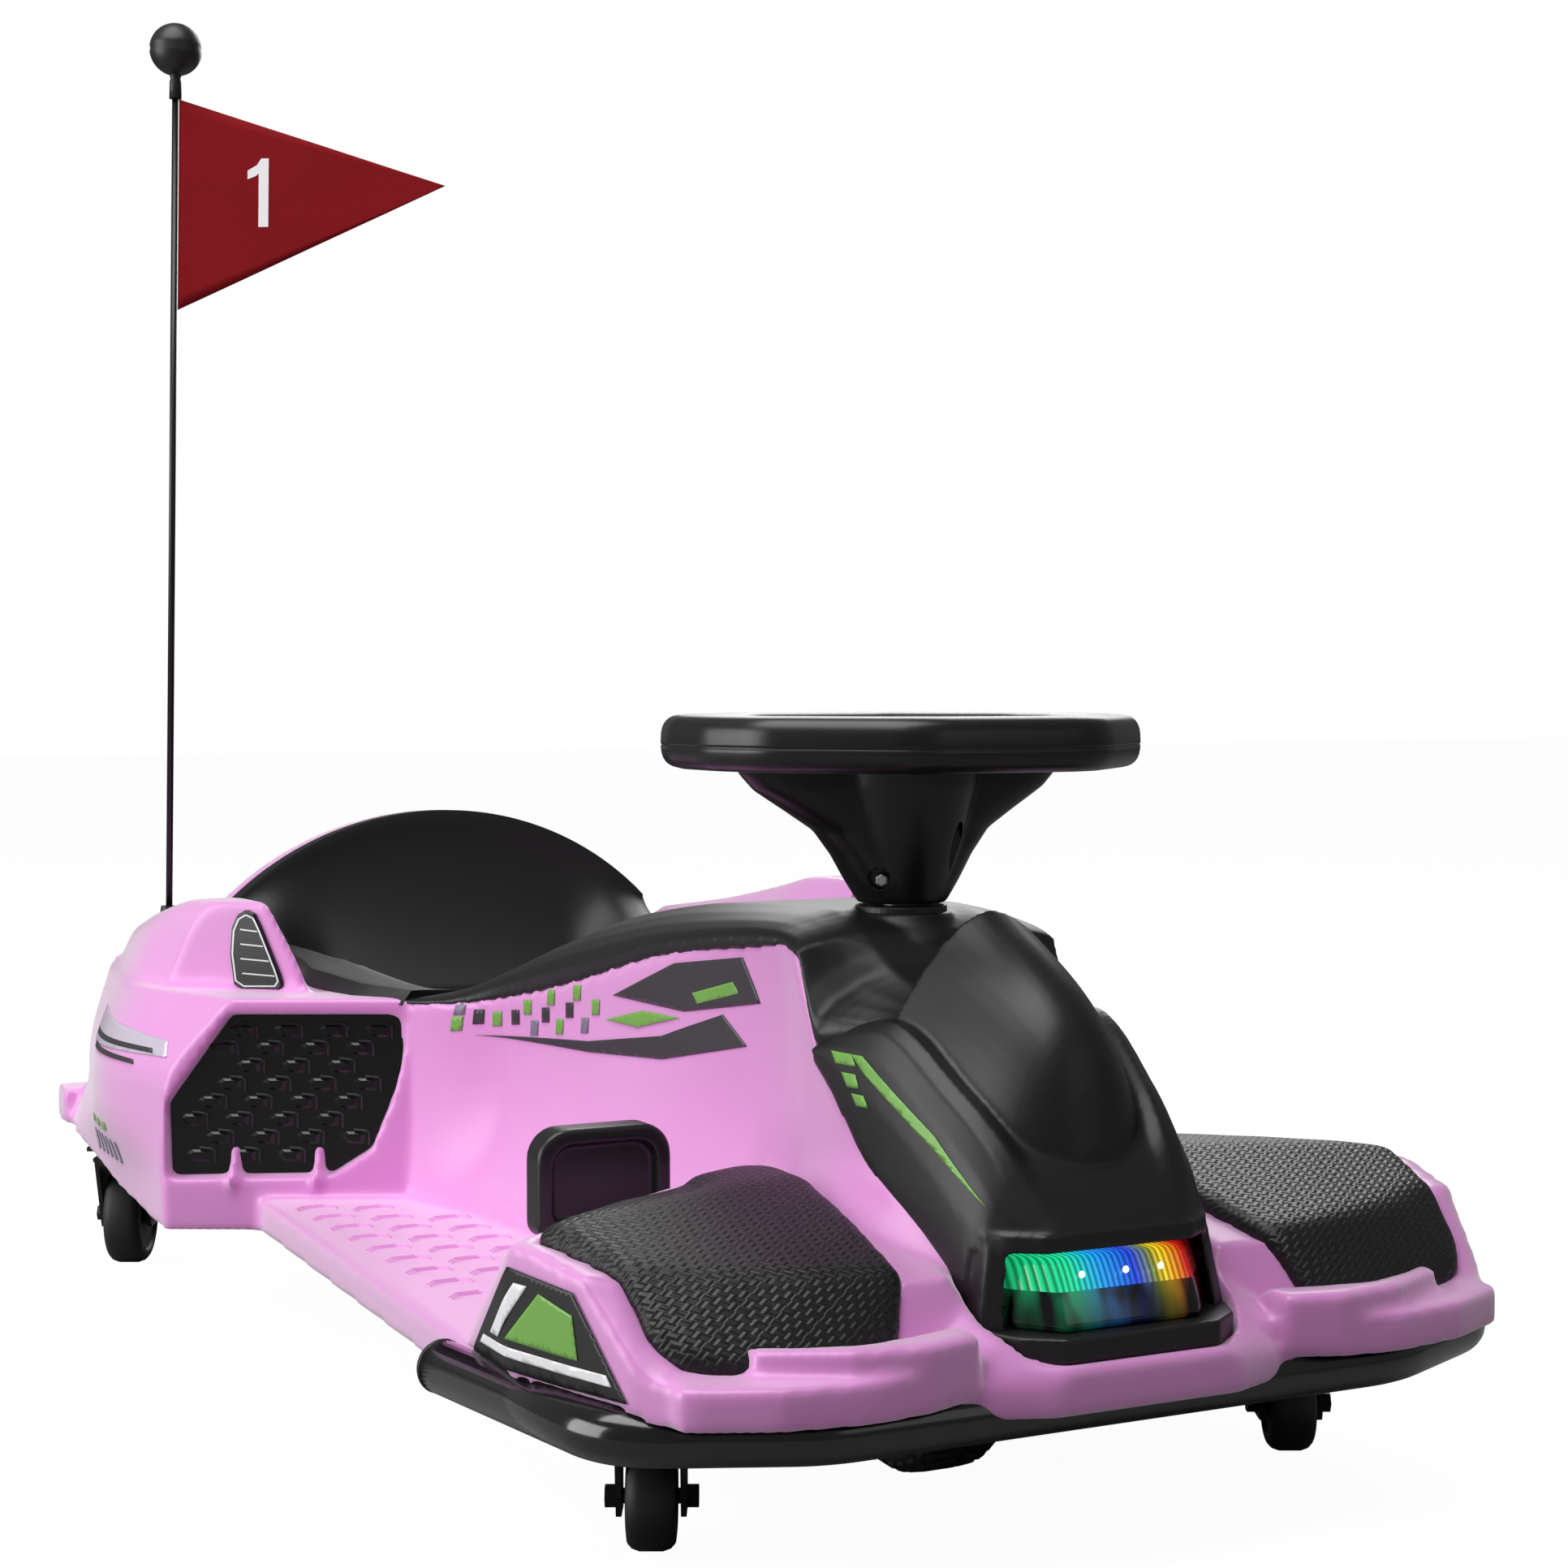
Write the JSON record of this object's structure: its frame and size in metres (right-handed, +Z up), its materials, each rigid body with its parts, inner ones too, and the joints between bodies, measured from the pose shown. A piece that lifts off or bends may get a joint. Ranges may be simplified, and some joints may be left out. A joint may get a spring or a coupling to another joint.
{
  "type": "electric drift kart",
  "caption": "Children's ride-on electric drift kart: moulded shell, bucket seat, foot rests, front bumper tube, flat steering wheel over a drive wheel, casters and a flag.",
  "frame": {"origin": "on the floor under the centre of the overall box", "axes": "+Z up, nose towards -Y, rider's left towards +X"},
  "size_m": [0.644, 1.04, 0.9345],
  "materials": {
    "pink_shell": "moulded, satin gloss",
    "black_shell": "moulded, fine grain",
    "seat_black": "moulded, satin",
    "pad_black": "moulded basket weave relief",
    "frame_steel": "black powder coat, gloss",
    "bare_steel": "zinc plated",
    "tyre": "moulded tread",
    "caster_black": "moulded",
    "lamp_lens": "clear ribbed lens over coloured lights",
    "flag_red": "woven polyester",
    "button_red": "moulded",
    "battery_grey": "moulded case"
  },
  "bodies": {
    "chassis": {"fuselage_shell": "pink_shell", "footrest_left": "pink_shell", "footrest_right": "pink_shell", "floor_board_left": "pink_shell", "floor_board_right": "pink_shell", "pod_left": "pink_shell", "pod_right": "pink_shell", "rear_shell": "pink_shell", "centre_cover": "black_shell", "hood": "black_shell", "lamp_lip": "black_shell", "pedal": "black_shell", "button_base": "black_shell", "column_collar": "black_shell", "vent_left": "black_shell", "vent_right": "black_shell", "flag_socket": "black_shell", "flag_ball": "black_shell", "tube_caps": "black_shell", "mesh_panel_left": "black_shell", "mesh_panel_right": "black_shell", "battery_tray": "black_shell", "seat": "seat_black", "foot_pad_left": "pad_black", "foot_pad_right": "pad_black", "bumper_tube": "frame_steel", "rail_left": "frame_steel", "rail_right": "frame_steel", "cross_rear": "frame_steel", "cross_mid": "frame_steel", "caster_bracket_left": "frame_steel", "caster_bracket_right": "frame_steel", "flag_pole": "frame_steel", "caster_mounts_front": "caster_black", "caster_mounts_rear": "caster_black", "lamp_lens": "lamp_lens", "flag_cloth": "flag_red", "power_button": "button_red", "battery_block": "battery_grey"},
    "steering": {"steering_rim": "black_shell", "steering_hub": "black_shell", "steering_shaft": "bare_steel", "drive_fork": "frame_steel"},
    "drive_wheel": {"drive_tyre": "tyre", "drive_hub": "caster_black"},
    "caster_front_left": {"caster_fork_front_left": "caster_black"},
    "wheel_front_left": {"caster_wheel_front_left": "caster_black"},
    "caster_front_right": {"caster_fork_front_right": "caster_black"},
    "wheel_front_right": {"caster_wheel_front_right": "caster_black"},
    "caster_rear_left": {"caster_fork_rear_left": "caster_black"},
    "wheel_rear_left": {"caster_wheel_rear_left": "caster_black"},
    "caster_rear_right": {"caster_fork_rear_right": "caster_black"},
    "wheel_rear_right": {"caster_wheel_rear_right": "caster_black"}
  },
  "joints": [
    {"name": "steering_turn", "type": "hinge", "parent": "chassis", "child": "steering", "pos_m": [0, -0.27, 0.2], "axis": [0, 0, 1], "range_deg": [-90, 90]},
    {"name": "drive_spin", "type": "hinge", "parent": "steering", "child": "drive_wheel", "pos_m": [0, -0.291, 0.074], "axis": [1, 0, 0], "continuous": true},
    {"name": "caster_front_left_swivel", "type": "hinge", "parent": "chassis", "child": "caster_front_left", "pos_m": [0.201, -0.369, 0.075], "axis": [0, 0, 1], "continuous": true},
    {"name": "wheel_front_left_spin", "type": "hinge", "parent": "caster_front_left", "child": "wheel_front_left", "pos_m": [0.20645, -0.35831, 0.0275], "axis": [0.891, -0.454, 0], "continuous": true},
    {"name": "caster_front_right_swivel", "type": "hinge", "parent": "chassis", "child": "caster_front_right", "pos_m": [-0.201, -0.369, 0.075], "axis": [0, 0, 1], "continuous": true},
    {"name": "wheel_front_right_spin", "type": "hinge", "parent": "caster_front_right", "child": "wheel_front_right", "pos_m": [-0.19555, -0.35831, 0.0275], "axis": [0.891, -0.454, 0], "continuous": true},
    {"name": "caster_rear_left_swivel", "type": "hinge", "parent": "chassis", "child": "caster_rear_left", "pos_m": [0.27, 0.44, 0.095], "axis": [0, 0, 1], "continuous": true},
    {"name": "wheel_rear_left_spin", "type": "hinge", "parent": "caster_rear_left", "child": "wheel_rear_left", "pos_m": [0.2809, 0.46138, 0.0375], "axis": [0.891, -0.454, 0], "continuous": true},
    {"name": "caster_rear_right_swivel", "type": "hinge", "parent": "chassis", "child": "caster_rear_right", "pos_m": [-0.27, 0.44, 0.095], "axis": [0, 0, 1], "continuous": true},
    {"name": "wheel_rear_right_spin", "type": "hinge", "parent": "caster_rear_right", "child": "wheel_rear_right", "pos_m": [-0.2591, 0.46138, 0.0375], "axis": [0.891, -0.454, 0], "continuous": true}
  ]
}
